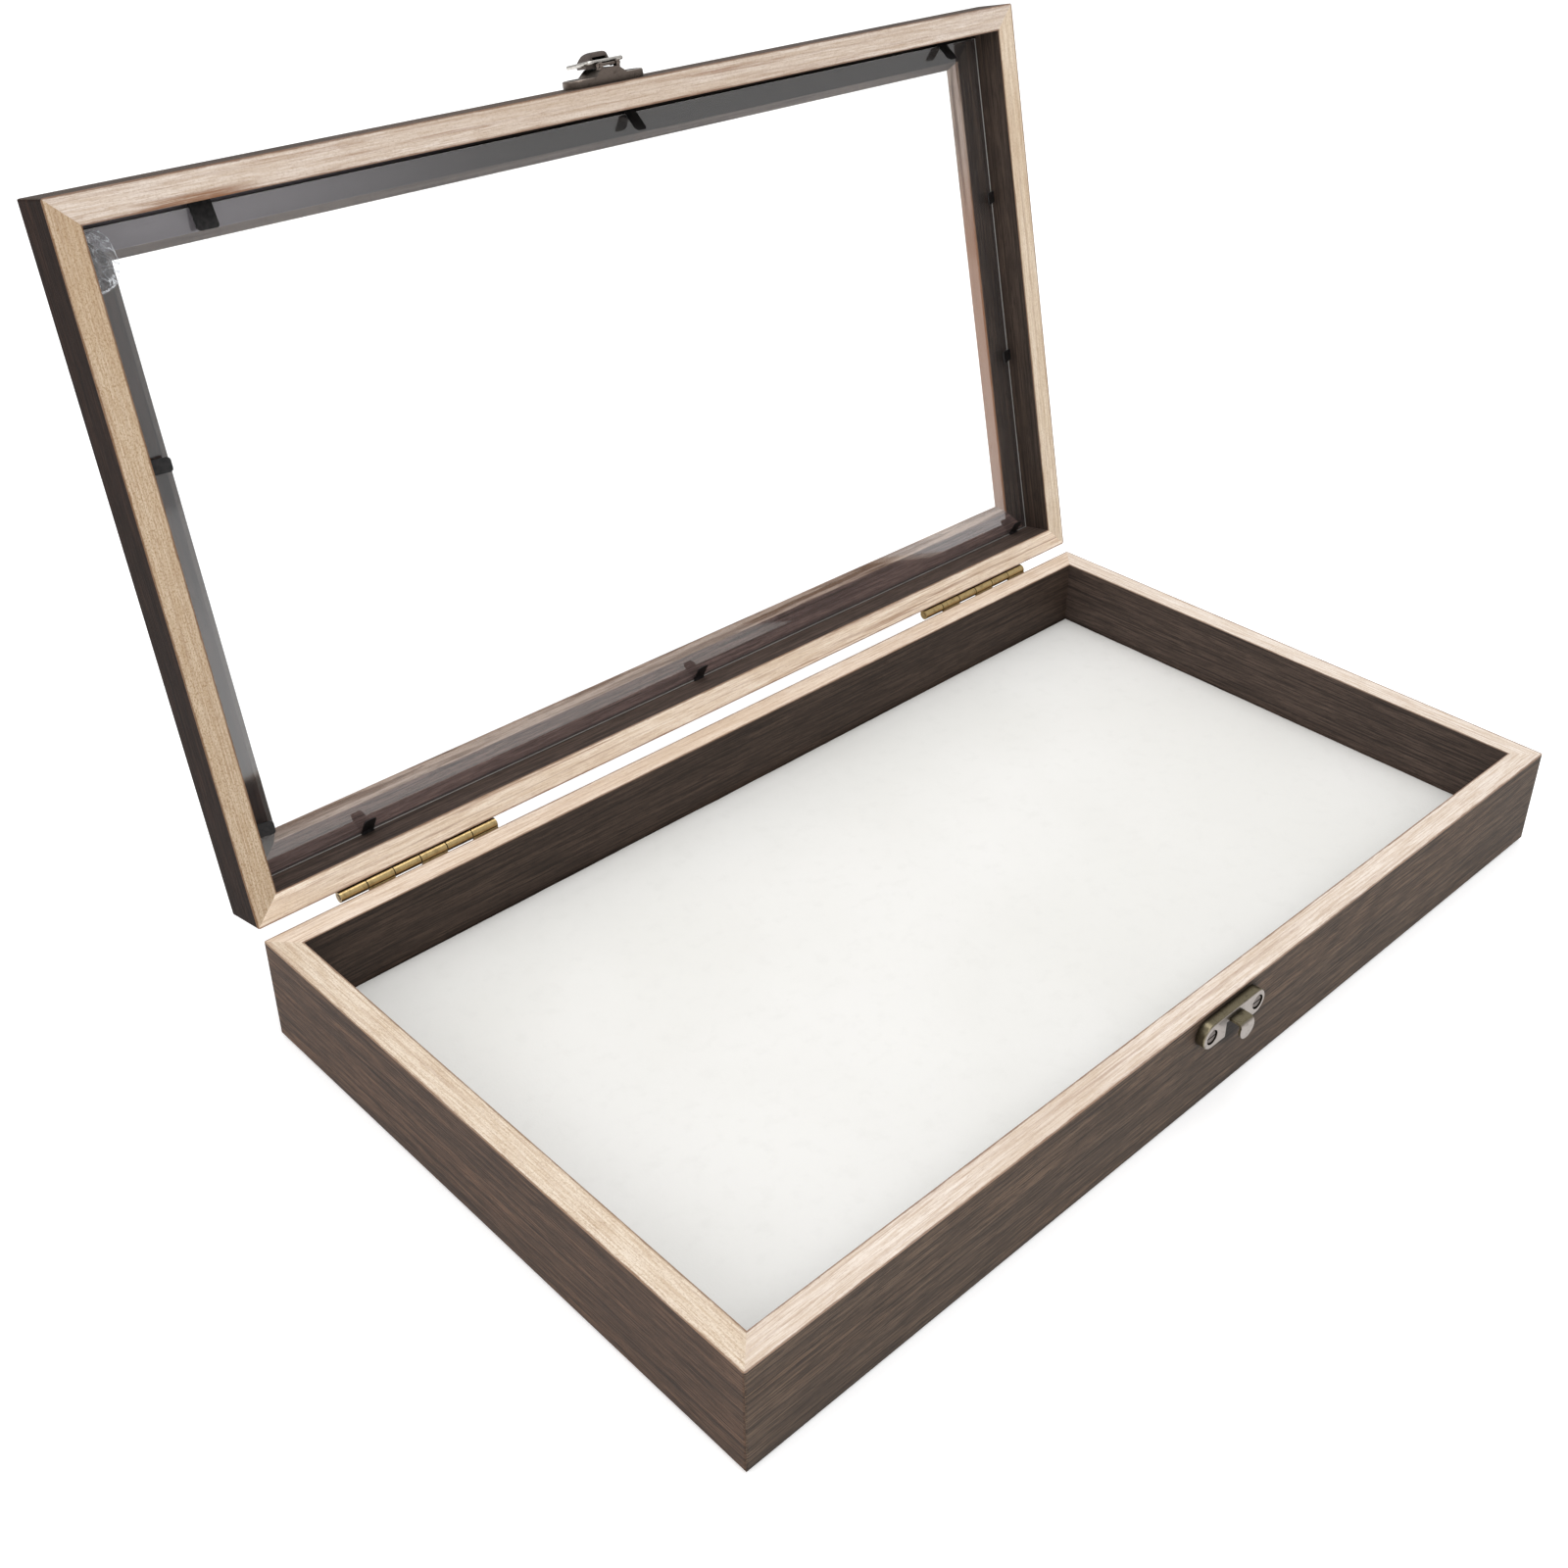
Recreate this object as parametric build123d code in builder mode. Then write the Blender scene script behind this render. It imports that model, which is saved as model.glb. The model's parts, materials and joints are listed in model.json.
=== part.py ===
# Hinged wooden display case for enamel pins: a mitred tray with a foam pad, and a framed clear lid.
# Frame: origin at the centre of the tray's underside, X along the long side, Y towards the hinges, Z up.
# The lid stands open at rest. Its pieces are drawn on lid_plane, which is the closed lid's own frame
# turned about the hinge axis: local x along the case, local y towards the hinges, local z away from
# the face that meets the tray.

from math import cos, radians, sin
import os

from build123d import *

os.makedirs("parts", exist_ok=True)

# ---- driving dimensions, mm ----

# case
case_length = 350.0
case_width = 200.0
base_height = 34.2
lid_height = 16.4
wall = 8.0  # thickness of every rail at the faces that meet
corner_round = 0.8  # upright corners
edge_round = 1.8  # long outer edges of the underside and of the lid's outer face
seat_gap = 0.2  # between the shut lid and the tray
lid_open_angle = 102.3  # from shut to the hinges' stop
mitre_margin = 5.0  # how far the cutting outline of a rail passes the case

# floor and pad
panel_thickness = 3.0
panel_rabbet = 4.0  # how far the floor board reaches into the rails
panel_clearance = 0.1
pad_thickness = 8.6
pad_clearance = 0.3
pad_corner = 2.0
pad_edge_round = 1.0

# glazing
lip_ledge = 8.4  # flat part of the lip under the sheet
lip_bevel = 2.6  # sloping part of the lip, seen from the window
lip_edge = 0.4  # upright edge left at the window
lip_thickness = 3.4
sheet_thickness = 2.0
film_thickness = 0.1
sheet_clearance = 0.4  # at the short sides
sheet_slack = 2.0  # at the lid's front, because the sheet lies against the hinge side
sheet_back_clearance = 0.1

# retaining points
tab_width = 4.0
wide_tab_width = 6.2  # the first of the front rail's points
tab_thickness = 0.5
tab_root = 4.0  # driven into the rail
tab_flat = 0.8  # free length before the bend
tab_corner = 0.9
tab_slot_clearance = 0.1
tab_lift = 0.1  # between the film and the tab's root

# hinges
hinge_offset = case_length * 0.35  # centre of each hinge from the middle of the case
hinge_length = 54.6
knuckle_count = 6
knuckle_radius = 1.65
knuckle_gap = 0.3
hinge_pin_radius = 0.8
running_clearance = 0.05
leaf_thickness = 0.7
leaf_height = 8.5  # from the axis to the leaf's far edge
leaf_relief = 0.4  # between one leaf's strip and the other's knuckles
axis_behind = 2.1  # hinge axis behind the back faces
axis_above = 0.75  # hinge axis above the tray's top
hinge_screw_spacing = 18.0
hinge_screw_radius = 0.7
hinge_screw_length = 6.0
hinge_screw_head_radius = 1.3
hinge_screw_head_height = 0.6

# latch, in the frame of the shut front face: across, up from the meeting faces, out from the wood
latch_x = 0.35
plate_width = 28.0
sheet_metal = 0.7
plate_screw_spacing = 20.9
plate_hole_radius = 2.3
plate_screw_radius = 1.0
plate_screw_length = 6.0
plate_screw_head_radius = 2.05
plate_screw_head_height = 1.0
cup_wall = 0.6
cup_floor = 0.9
pilot_clearance = 0.05
slot_width = 0.45

catch_top = 1.7  # below the tray's top
catch_height = 8.0
catch_rise = 3.0
hook_below = 1.9  # top of the hook's arm below the plate's top
hook_width = 5.8
hook_out = 7.0  # outer face of the hook, out from the wood
hook_bend = 1.5
hook_bend_inside = 0.8
hook_disc_radius = 3.2  # round end of the hook
hook_disc_below = 2.6  # its centre below the top of the arm
hook_window_width = 8.2
window_margin = 1.0  # how far the window's cut passes the plate's edge

hasp_bottom = 3.6
hasp_height = 9.0
hasp_rise = 2.4
hump_width = 6.0  # flat top
hump_ramp = 3.2  # width of each slope beside it
hump_rise = 4.4
hump_round = 2.0
lever_up = 4.4  # lever's pin above the meeting faces
lever_out = 5.35
lever_pin_radius = 0.45
lug_radius = 0.8
lug_width = 1.2
lug_spread = 3.1  # middle of each lug from the middle of the latch
pin_head = 0.25

loop_up = 5.6  # loop's near bar above the meeting faces while the lever is flat
loop_out = 6.35
loop_spread = 6.6  # middle of each wire arm
wire_radius = 0.6
loop_corner = 1.4
loop_lean = 4.6  # degrees, from the lever's flange towards the wood
loop_seat_gap = 0.2  # between the wire and the hook while latched
loop_joint = 1.0  # half length of the near bar's straight middle

neck_half_width = 2.35
neck_wall = 0.45  # round the loop's near bar
flange_half_width = 5.3
flange_start = 6.4  # height at which the lever widens
flange_flare = 1.8  # length over which it widens
flange_tip = 15.6
flange_end = 2.6  # depth of its rounded end
flange_top = 5.9
flange_rim = 1.3
flange_corner = 1.2
lever_shell = 0.6
dome_half_width = 4.2
dome_crown_half_width = 2.7
dome_crown_round = 1.5
dome_start = 8.4
dome_tip = 15.3
dome_peak_up = 10.2
dome_peak_out = 9.0
dome_near_out = 8.3  # top of the dome's near end
dome_slot_width = 5.0
dome_slot_lift = 0.8  # above the flange
dome_slot_height = 0.9

# ---- worked-out places ----

half_length = case_length / 2
half_width = case_width / 2
hinge_y = half_width + axis_behind
hinge_z = base_height + axis_above
lip_width = lip_ledge + lip_bevel
glazing_depth = lid_height - lip_thickness  # of the ledge, from the meeting face
window_length = case_length - 2 * (wall + lip_width)
window_width = case_width - 2 * (wall + lip_width)
recess_length = case_length - 2 * wall
recess_width = case_width - 2 * wall
knuckle_pitch = hinge_length / knuckle_count

open_cos = cos(radians(lid_open_angle))
open_sin = sin(radians(lid_open_angle))
lid_back_dir = Vector(0, open_cos, -open_sin)
lid_out_dir = Vector(0, open_sin, open_cos)
hinge_axis_point = Vector(0, hinge_y, hinge_z)
lid_origin = (
    hinge_axis_point
    - lid_back_dir * hinge_y
    + lid_out_dir * (seat_gap - axis_above)
)
lid_plane = Plane(origin=lid_origin, x_dir=(1, 0, 0), z_dir=lid_out_dir)

# front faces of the tray and of the lid: local x across, local y up, local z out of the wood
catch_plane = Plane(origin=(latch_x, -half_width, base_height), x_dir=(1, 0, 0), z_dir=(0, -1, 0))
hasp_plane = Plane(
    origin=lid_plane.from_local_coords((latch_x, -half_width, 0)),
    x_dir=(1, 0, 0),
    z_dir=-lid_back_dir,
)

# back faces: local x along the axis' own Y, local y up, local z along the case
base_hinge_plane = Plane(origin=hinge_axis_point, x_dir=(0, 1, 0), z_dir=(1, 0, 0))
lid_hinge_plane = Plane(origin=hinge_axis_point, x_dir=lid_back_dir, z_dir=(1, 0, 0))

hook_inner = hook_out - sheet_metal
hook_top = -catch_top - hook_below
loop_seat = hook_top - sheet_metal - loop_seat_gap - wire_radius - seat_gap
loop_length = loop_up - loop_seat


def save(part, label):
    """Name a finished piece and write its file."""
    part.label = label
    export_step(part, f"parts/{label}.step")


# ---- wooden frames ----

# Each frame is drawn whole, then cut at its mitres into four rails.
rail_sides = {"front": (0, -1), "back": (0, 1), "left": (-1, 0), "right": (1, 0)}


def keep_mitred(plane, height, side_x, side_y):
    """Keep one rail of a frame: its quarter of the case, between the two mitre lines."""
    end = half_length - half_width
    far_x = half_length + mitre_margin
    far_y = half_width + mitre_margin
    if side_x:
        corners = ((side_x * end, 0), (side_x * far_x, far_y), (side_x * far_x, -far_y))
    else:
        corners = ((-end, 0), (end, 0), (far_x, side_y * far_y), (-far_x, side_y * far_y))
    with BuildSketch(plane.offset(-mitre_margin)) as outline:
        Polygon(*corners, align=None)
    extrude(outline.sketch, amount=height + 2 * mitre_margin, mode=Mode.INTERSECT)


def round_corners(plane, height):
    """Round a frame's upright corners."""
    with BuildSketch(plane) as rim:
        Rectangle(case_length + 2 * corner_round, case_width + 2 * corner_round)
        RectangleRounded(case_length, case_width, corner_round, mode=Mode.SUBTRACT)
    extrude(rim.sketch, amount=height, mode=Mode.SUBTRACT)


with BuildPart() as base_frame:
    with BuildSketch():
        Rectangle(case_length, case_width)
    extrude(amount=base_height)
    fillet(base_frame.faces().sort_by(Axis.Z)[0].edges(), edge_round)
    round_corners(Plane.XY, base_height)
    with BuildSketch():
        Rectangle(recess_length, recess_width)
    extrude(amount=base_height, mode=Mode.SUBTRACT)
    with BuildSketch():
        Rectangle(recess_length + 2 * panel_rabbet, recess_width + 2 * panel_rabbet)
    extrude(amount=panel_thickness, mode=Mode.SUBTRACT)

with BuildPart() as lid_frame:
    with BuildSketch(lid_plane):
        Rectangle(case_length, case_width)
    extrude(amount=lid_height)
    outer_face = lid_frame.faces().sort_by(Axis(lid_plane.origin, lid_plane.z_dir))[-1]
    fillet(outer_face.edges(), edge_round)
    round_corners(lid_plane, lid_height)
    with BuildSketch(lid_plane):
        Rectangle(window_length, window_width)
    extrude(amount=lid_height, mode=Mode.SUBTRACT)
    with BuildSketch(lid_plane):
        Rectangle(recess_length, recess_width)
    extrude(amount=glazing_depth, mode=Mode.SUBTRACT)
    with BuildSketch(lid_plane.offset(glazing_depth)):
        Rectangle(window_length + 2 * lip_bevel, window_width + 2 * lip_bevel)
    with BuildSketch(lid_plane.offset(lid_height - lip_edge)):
        Rectangle(window_length, window_width)
    loft(mode=Mode.SUBTRACT)


# ---- retaining points ----

# Place of each point along its rail as a share of half the inner length, how far its free end
# stands from the rail, how far that end is bent up, and the point's width.
tab_places = {
    "front": (
        (-0.789, 8.0, 1.8, wide_tab_width),
        (0.056, 7.0, 5.0, tab_width),
        (0.887, 6.6, 5.2, tab_width),
    ),
    "back": (
        (-0.786, 5.4, 3.9, tab_width),
        (-0.016, 5.4, 3.9, tab_width),
        (0.949, 5.0, 3.4, tab_width),
    ),
    "left": ((-0.317, 8.4, 2.2, tab_width), (0.836, 8.0, 2.2, tab_width)),
    "right": ((-0.380, 5.0, 2.2, tab_width), (0.255, 6.0, 2.4, tab_width)),
}
tab_under = glazing_depth - sheet_thickness - film_thickness - tab_lift


def tab_planes(name):
    """Section planes of one rail's tabs: local x into the window, local y off the sheet."""
    side_x, side_y = rail_sides[name]
    inward = lid_plane.x_dir * -side_x + lid_plane.y_dir * -side_y
    across = inward.cross(-lid_plane.z_dir)
    planes = []
    for share, reach, rise, width in tab_places[name]:
        x = (side_x or share) * recess_length / 2
        y = (side_y or share) * recess_width / 2
        foot = lid_plane.from_local_coords((x, y, tab_under))
        planes.append((Plane(origin=foot, x_dir=inward, z_dir=across), reach, rise, width))
    return planes


def tab_slots(name):
    """Slots in a rail that its tabs are driven into."""
    for plane, _, _, width in tab_planes(name):
        with BuildSketch(plane.offset(-width / 2 - tab_slot_clearance)) as slot:
            with Locations((-tab_root / 2, tab_thickness / 2)):
                Rectangle(tab_root + 2 * tab_slot_clearance, tab_thickness + 2 * tab_slot_clearance)
        extrude(slot.sketch, amount=width + 2 * tab_slot_clearance, mode=Mode.SUBTRACT)


for rail_name in tab_places:
    with BuildPart() as tabs:
        for plane, reach, rise, width in tab_planes(rail_name):
            with BuildSketch(plane.offset(-width / 2)):
                Polygon(
                    (-tab_root, 0),
                    (tab_flat, 0),
                    (reach, rise),
                    (reach, rise + tab_thickness),
                    (tab_flat, tab_thickness),
                    (-tab_root, tab_thickness),
                    align=None,
                )
            extrude(amount=width)
            # round the free end's corners
            plan = Plane(origin=plane.origin, x_dir=plane.x_dir, z_dir=plane.y_dir)
            with BuildSketch(plan):
                for side in (-1, 1):
                    corner = (reach - tab_corner / 2, side * (width - tab_corner) / 2)
                    with Locations(corner):
                        Rectangle(tab_corner, tab_corner)
                for side in (-1, 1):
                    centre = (reach - tab_corner, side * (width / 2 - tab_corner))
                    with Locations(centre):
                        Circle(tab_corner, mode=Mode.SUBTRACT)
            extrude(amount=rise + 2 * tab_thickness, mode=Mode.SUBTRACT)
    save(tabs.part, f"{rail_name}_tabs")


# ---- fasteners ----


def screw(plane, head_base, head_radius, head_height, shank_radius, shank_length):
    """Slotted screw standing on a plane: the head from head_base outwards, the shank into the wood."""
    with BuildSketch(plane.offset(head_base)) as head:
        Circle(head_radius)
    extrude(head.sketch, amount=head_height)
    top = plane.from_local_coords((0, 0, head_base + head_height))
    fillet(edges().filter_by(GeomType.CIRCLE).sort_by_distance(top)[:1], head_height * 0.4)
    with BuildSketch(plane.offset(head_base + head_height / 2)) as slot:
        Rectangle(2 * head_radius, slot_width)
    extrude(slot.sketch, amount=head_height, mode=Mode.SUBTRACT)
    with BuildSketch(plane.offset(head_base)) as shank:
        Circle(shank_radius)
    extrude(shank.sketch, amount=-shank_length - head_base)


# ---- rails ----


def hinge_screw_planes(plane, centre, upwards):
    """Planes of one hinge leaf's screws, on the wood: local z out of the wood."""
    height = upwards * (knuckle_radius + leaf_relief + leaf_height) / 2
    out = plane.x_dir
    planes = []
    for step in (-1, 0, 1):
        along = centre + step * hinge_screw_spacing
        foot = plane.from_local_coords((-axis_behind, height, along))
        planes.append(Plane(origin=foot, x_dir=(1, 0, 0), z_dir=out))
    return planes


def pilot_holes(planes, radius, length):
    """Blind holes in the wood for a set of screws."""
    for plane in planes:
        with BuildSketch(plane) as hole:
            Circle(radius + pilot_clearance)
        extrude(hole.sketch, amount=-length - pilot_clearance, mode=Mode.SUBTRACT)


def plate_screw_planes(plane, height):
    """Planes of a latch plate's two screws, on the wood."""
    planes = []
    for side in (-1, 1):
        foot = plane.from_local_coords((side * plate_screw_spacing / 2, height, 0))
        planes.append(Plane(origin=foot, x_dir=(1, 0, 0), z_dir=plane.z_dir))
    return planes


catch_screw_height = -catch_top - catch_height / 2
hasp_screw_height = hasp_bottom + hasp_height / 2
catch_screw_planes = plate_screw_planes(catch_plane, catch_screw_height)
hasp_screw_planes = plate_screw_planes(hasp_plane, hasp_screw_height)

for rail_name, (side_x, side_y) in rail_sides.items():
    with BuildPart() as base_rail:
        add(base_frame.part)
        keep_mitred(Plane.XY, base_height, side_x, side_y)
        if rail_name == "front":
            pilot_holes(catch_screw_planes, plate_screw_radius, plate_screw_length)
        if rail_name == "back":
            for centre in (-hinge_offset, hinge_offset):
                planes = hinge_screw_planes(base_hinge_plane, centre, -1)
                pilot_holes(planes, hinge_screw_radius, hinge_screw_length)
    save(base_rail.part, f"base_{rail_name}_rail")

    with BuildPart() as lid_rail:
        add(lid_frame.part)
        keep_mitred(lid_plane, lid_height, side_x, side_y)
        tab_slots(rail_name)
        if rail_name == "front":
            pilot_holes(hasp_screw_planes, plate_screw_radius, plate_screw_length)
        if rail_name == "back":
            for centre in (-hinge_offset, hinge_offset):
                planes = hinge_screw_planes(lid_hinge_plane, centre, 1)
                pilot_holes(planes, hinge_screw_radius, hinge_screw_length)
    save(lid_rail.part, f"lid_{rail_name}_rail")


# ---- floor, pad and glazing ----

panel_length = recess_length + 2 * panel_rabbet - 2 * panel_clearance
panel_width = recess_width + 2 * panel_rabbet - 2 * panel_clearance

with BuildPart() as base_panel:
    with BuildSketch():
        Rectangle(panel_length, panel_width)
    extrude(amount=panel_thickness)
save(base_panel.part, "base_panel")

with BuildPart() as foam_pad:
    with BuildSketch(Plane.XY.offset(panel_thickness)):
        RectangleRounded(recess_length - 2 * pad_clearance, recess_width - 2 * pad_clearance, pad_corner)
    extrude(amount=pad_thickness)
    fillet(foam_pad.faces().sort_by(Axis.Z)[-1].edges(), pad_edge_round)
save(foam_pad.part, "foam_pad")

sheet_length = recess_length - 2 * sheet_clearance
sheet_width = recess_width - sheet_slack - sheet_back_clearance
sheet_shift = (sheet_slack - sheet_back_clearance) / 2

with BuildPart() as glazing_sheet:
    with BuildSketch(lid_plane.offset(glazing_depth - sheet_thickness)):
        with Locations((0, sheet_shift)):
            Rectangle(sheet_length, sheet_width)
    extrude(amount=sheet_thickness)
save(glazing_sheet.part, "glazing_sheet")

with BuildPart() as protective_film:
    with BuildSketch(lid_plane.offset(glazing_depth - sheet_thickness - film_thickness)):
        with Locations((0, sheet_shift)):
            Rectangle(sheet_length, sheet_width)
    extrude(amount=film_thickness)
save(protective_film.part, "protective_film")


# ---- hinges ----


def hinge_leaf(plane, centre, upwards, first_knuckle):
    """Leaf on a back face with every other knuckle of the barrel; upwards is +1 on the lid."""
    near = upwards * (knuckle_radius + leaf_relief)
    far = upwards * leaf_height
    front = -axis_behind
    end_plane = plane.offset(centre - hinge_length / 2)
    with BuildPart() as leaf:
        with BuildSketch(end_plane):
            with Locations((front + leaf_thickness / 2, (near + far) / 2)):
                Rectangle(leaf_thickness, abs(far - near))
        extrude(amount=hinge_length, dir=(1, 0, 0))
        for index in range(first_knuckle, knuckle_count, 2):
            with BuildSketch(end_plane.offset(index * knuckle_pitch + knuckle_gap / 2)):
                Circle(knuckle_radius)
                Polygon(
                    (front, near),
                    (front + leaf_thickness, near),
                    (-knuckle_radius * 0.45, upwards * knuckle_radius * 0.7),
                    (-knuckle_radius * 0.75, -upwards * knuckle_radius * 0.1),
                    (front + leaf_thickness / 2, upwards * (axis_above + 0.2)),
                    (front, upwards * (axis_above + 0.4)),
                    align=None,
                )
            extrude(amount=knuckle_pitch - knuckle_gap, dir=(1, 0, 0))
        with BuildSketch(end_plane):
            Circle(hinge_pin_radius + running_clearance)
        extrude(amount=hinge_length, dir=(1, 0, 0), mode=Mode.SUBTRACT)
        for screw_plane in hinge_screw_planes(plane, centre, upwards):
            with BuildSketch(screw_plane):
                Circle(hinge_screw_radius + pilot_clearance)
            extrude(amount=leaf_thickness, mode=Mode.SUBTRACT)
    return leaf.part


for side_name, centre in (("left", -hinge_offset), ("right", hinge_offset)):
    save(hinge_leaf(lid_hinge_plane, centre, 1, 0), f"hinge_{side_name}_lid_leaf")
    save(hinge_leaf(base_hinge_plane, centre, -1, 1), f"hinge_{side_name}_base_leaf")

    with BuildPart() as hinge_pin:
        with BuildSketch(base_hinge_plane.offset(centre - hinge_length / 2)):
            Circle(hinge_pin_radius)
        extrude(amount=hinge_length, dir=(1, 0, 0))
    save(hinge_pin.part, f"hinge_{side_name}_pin")

    for body_name, plane, upwards in (
        ("lid", lid_hinge_plane, 1),
        ("base", base_hinge_plane, -1),
    ):
        with BuildPart() as leaf_screws:
            for screw_plane in hinge_screw_planes(plane, centre, upwards):
                screw(
                    screw_plane,
                    leaf_thickness,
                    hinge_screw_head_radius,
                    hinge_screw_head_height,
                    hinge_screw_radius,
                    hinge_screw_length,
                )
        save(leaf_screws.part, f"hinge_{side_name}_{body_name}_screws")


# ---- latch plates ----


def pressed_plate(plane, bottom, height, rise):
    """Hollow pressed plate with round ends, open towards the wood."""
    middle = bottom + height / 2
    with BuildSketch(plane) as outside:
        with Locations((0, middle)):
            SlotOverall(plate_width, height)
    extrude(outside.sketch, amount=rise)
    face = faces().sort_by(Axis(plane.origin, plane.z_dir))[-1]
    fillet(face.edges(), sheet_metal * 0.8)
    with BuildSketch(plane) as inside:
        with Locations((0, middle)):
            SlotOverall(plate_width - 2 * sheet_metal, height - 2 * sheet_metal)
    extrude(inside.sketch, amount=rise - sheet_metal, mode=Mode.SUBTRACT)


def screw_cups(planes, rise):
    """Sunk cups in a plate's ears, with the screw holes through them."""
    for plane in planes:
        with BuildSketch(plane.offset(rise - sheet_metal - cup_floor)) as cup:
            Circle(plate_hole_radius + cup_wall)
        extrude(cup.sketch, amount=cup_floor + sheet_metal * 0.5)
        with BuildSketch(plane.offset(rise - sheet_metal * 0.5 - cup_floor)) as well:
            Circle(plate_hole_radius)
        extrude(well.sketch, amount=rise, mode=Mode.SUBTRACT)
        with BuildSketch(plane) as hole:
            Circle(plate_screw_radius + pilot_clearance)
        extrude(hole.sketch, amount=rise, mode=Mode.SUBTRACT)


def plate_screws(planes, rise):
    """The two screws of a latch plate, with their heads in the cups."""
    for plane in planes:
        screw(
            plane,
            rise - sheet_metal * 0.5 - cup_floor,
            plate_screw_head_radius,
            plate_screw_head_height,
            plate_screw_radius,
            plate_screw_length,
        )


catch_bottom = -catch_top - catch_height
hook_profile_plane = Plane(origin=catch_plane.origin, x_dir=catch_plane.z_dir, z_dir=(-1, 0, 0))

with BuildPart() as catch_plate:
    pressed_plate(catch_plane, catch_bottom, catch_height, catch_rise)
    screw_cups(catch_screw_planes, catch_rise)
    # window that the hook was bent out of, open at the plate's lower edge
    window_top = hook_top - sheet_metal
    window_height = window_top - catch_bottom + window_margin
    with BuildSketch(catch_plane):
        with Locations((0, window_top - window_height / 2)):
            Rectangle(hook_window_width, window_height)
    extrude(amount=catch_rise, mode=Mode.SUBTRACT)
    # hook: out from the plate, then down to a round end
    disc_centre = hook_top - hook_disc_below
    with BuildSketch(hook_profile_plane.offset(-hook_width / 2)):
        with BuildLine():
            Polyline(
                (catch_rise - sheet_metal, hook_top),
                (hook_out, hook_top),
                (hook_out, disc_centre),
                (hook_inner, disc_centre),
                (hook_inner, window_top),
                (catch_rise - sheet_metal, window_top),
                close=True,
            )
        make_face()
        fillet(vertices().sort_by_distance((hook_out, hook_top))[0], hook_bend)
        fillet(vertices().sort_by_distance((hook_inner, window_top))[0], hook_bend_inside)
    extrude(amount=hook_width)
    with BuildSketch(catch_plane.offset(hook_inner)) as hook_end:
        with Locations((0, disc_centre)):
            Circle(hook_disc_radius)
        with Locations((0, hook_top - hook_bend + hook_disc_radius)):
            Rectangle(2 * hook_disc_radius, 2 * hook_disc_radius, mode=Mode.SUBTRACT)
    extrude(hook_end.sketch, amount=sheet_metal)
save(catch_plate.part, "catch_plate")

with BuildPart() as catch_screws:
    plate_screws(catch_screw_planes, catch_rise)
save(catch_screws.part, "catch_screws")

# ---- hasp ----

lug_sides = (-1, 1)
lever_place = (lever_out, lever_up)
lug_outside = 2 * lug_spread + lug_width + 2 * running_clearance
latch_profile_plane = Plane(origin=hasp_plane.origin, x_dir=hasp_plane.z_dir, z_dir=(-1, 0, 0))

with BuildPart() as hasp_plate:
    pressed_plate(hasp_plane, hasp_bottom, hasp_height, hasp_rise)
    screw_cups(hasp_screw_planes, hasp_rise)
    # hump that lifts the lugs
    hump_plane = Plane(
        origin=hasp_plane.from_local_coords((0, hasp_bottom, 0)),
        x_dir=(1, 0, 0),
        z_dir=-hasp_plane.y_dir,
    )
    with BuildSketch(hump_plane):
        Polygon(
            (-hump_width / 2 - hump_ramp, hasp_rise - sheet_metal),
            (hump_width / 2 + hump_ramp, hasp_rise - sheet_metal),
            (hump_width / 2 + hump_ramp, hasp_rise - sheet_metal / 2),
            (hump_width / 2, hump_rise),
            (-hump_width / 2, hump_rise),
            (-hump_width / 2 - hump_ramp, hasp_rise - sheet_metal / 2),
            align=None,
        )
        for side in (-1, 1):
            crest = (side * hump_width / 2, hump_rise)
            fillet(vertices().sort_by_distance(crest)[0], hump_round)
    extrude(amount=-hasp_height)
    with BuildSketch(hasp_plane):
        with Locations((0, hasp_bottom + hasp_height / 2)):
            Rectangle(hump_width - 2 * sheet_metal, hasp_height - 2 * sheet_metal)
    extrude(amount=hump_rise - sheet_metal, mode=Mode.SUBTRACT)
    # lugs rolled round the lever's pin
    for side in lug_sides:
        with BuildSketch(latch_profile_plane.offset(-side * lug_spread - lug_width / 2)):
            with Locations((lever_out, lever_up)):
                Circle(lug_radius)
            Polygon(
                (hump_rise - sheet_metal / 2, lever_up - lug_radius * 0.9),
                (lever_out, lever_up - lug_radius * 0.9),
                (lever_out, lever_up + lug_radius * 0.9),
                (hump_rise - sheet_metal / 2, lever_up + lug_radius * 1.5),
                align=None,
            )
        extrude(amount=lug_width)
    with BuildSketch(latch_profile_plane.offset(-lug_outside / 2)):
        with Locations(lever_place):
            Circle(lever_pin_radius + running_clearance)
    extrude(amount=lug_outside, mode=Mode.SUBTRACT)
save(hasp_plate.part, "hasp_plate")

with BuildPart() as hasp_screws:
    plate_screws(hasp_screw_planes, hasp_rise)
save(hasp_screws.part, "hasp_screws")


# ---- lever's pin, wire loop and lever ----

loop_place = (loop_out, loop_up)

with BuildPart() as lever_pin:
    with BuildSketch(latch_profile_plane.offset(-lug_outside / 2)):
        with Locations(lever_place):
            Circle(lever_pin_radius)
    extrude(amount=lug_outside)
    for start in (-lug_outside / 2 - pin_head, lug_outside / 2):
        with BuildSketch(latch_profile_plane.offset(start)):
            with Locations(lever_place):
                Circle(lever_pin_radius + pin_head)
        extrude(amount=pin_head)
save(lever_pin.part, "lever_pin")

# The loop lies folded back along the lever: its near bar runs through the lever's neck.
lean = radians(loop_lean)
loop_dir = hasp_plane.y_dir * cos(lean) - hasp_plane.z_dir * sin(lean)
loop_plane = Plane(
    origin=hasp_plane.from_local_coords((0, loop_up, loop_out)),
    x_dir=(1, 0, 0),
    z_dir=Vector(1, 0, 0).cross(loop_dir),
)

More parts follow.
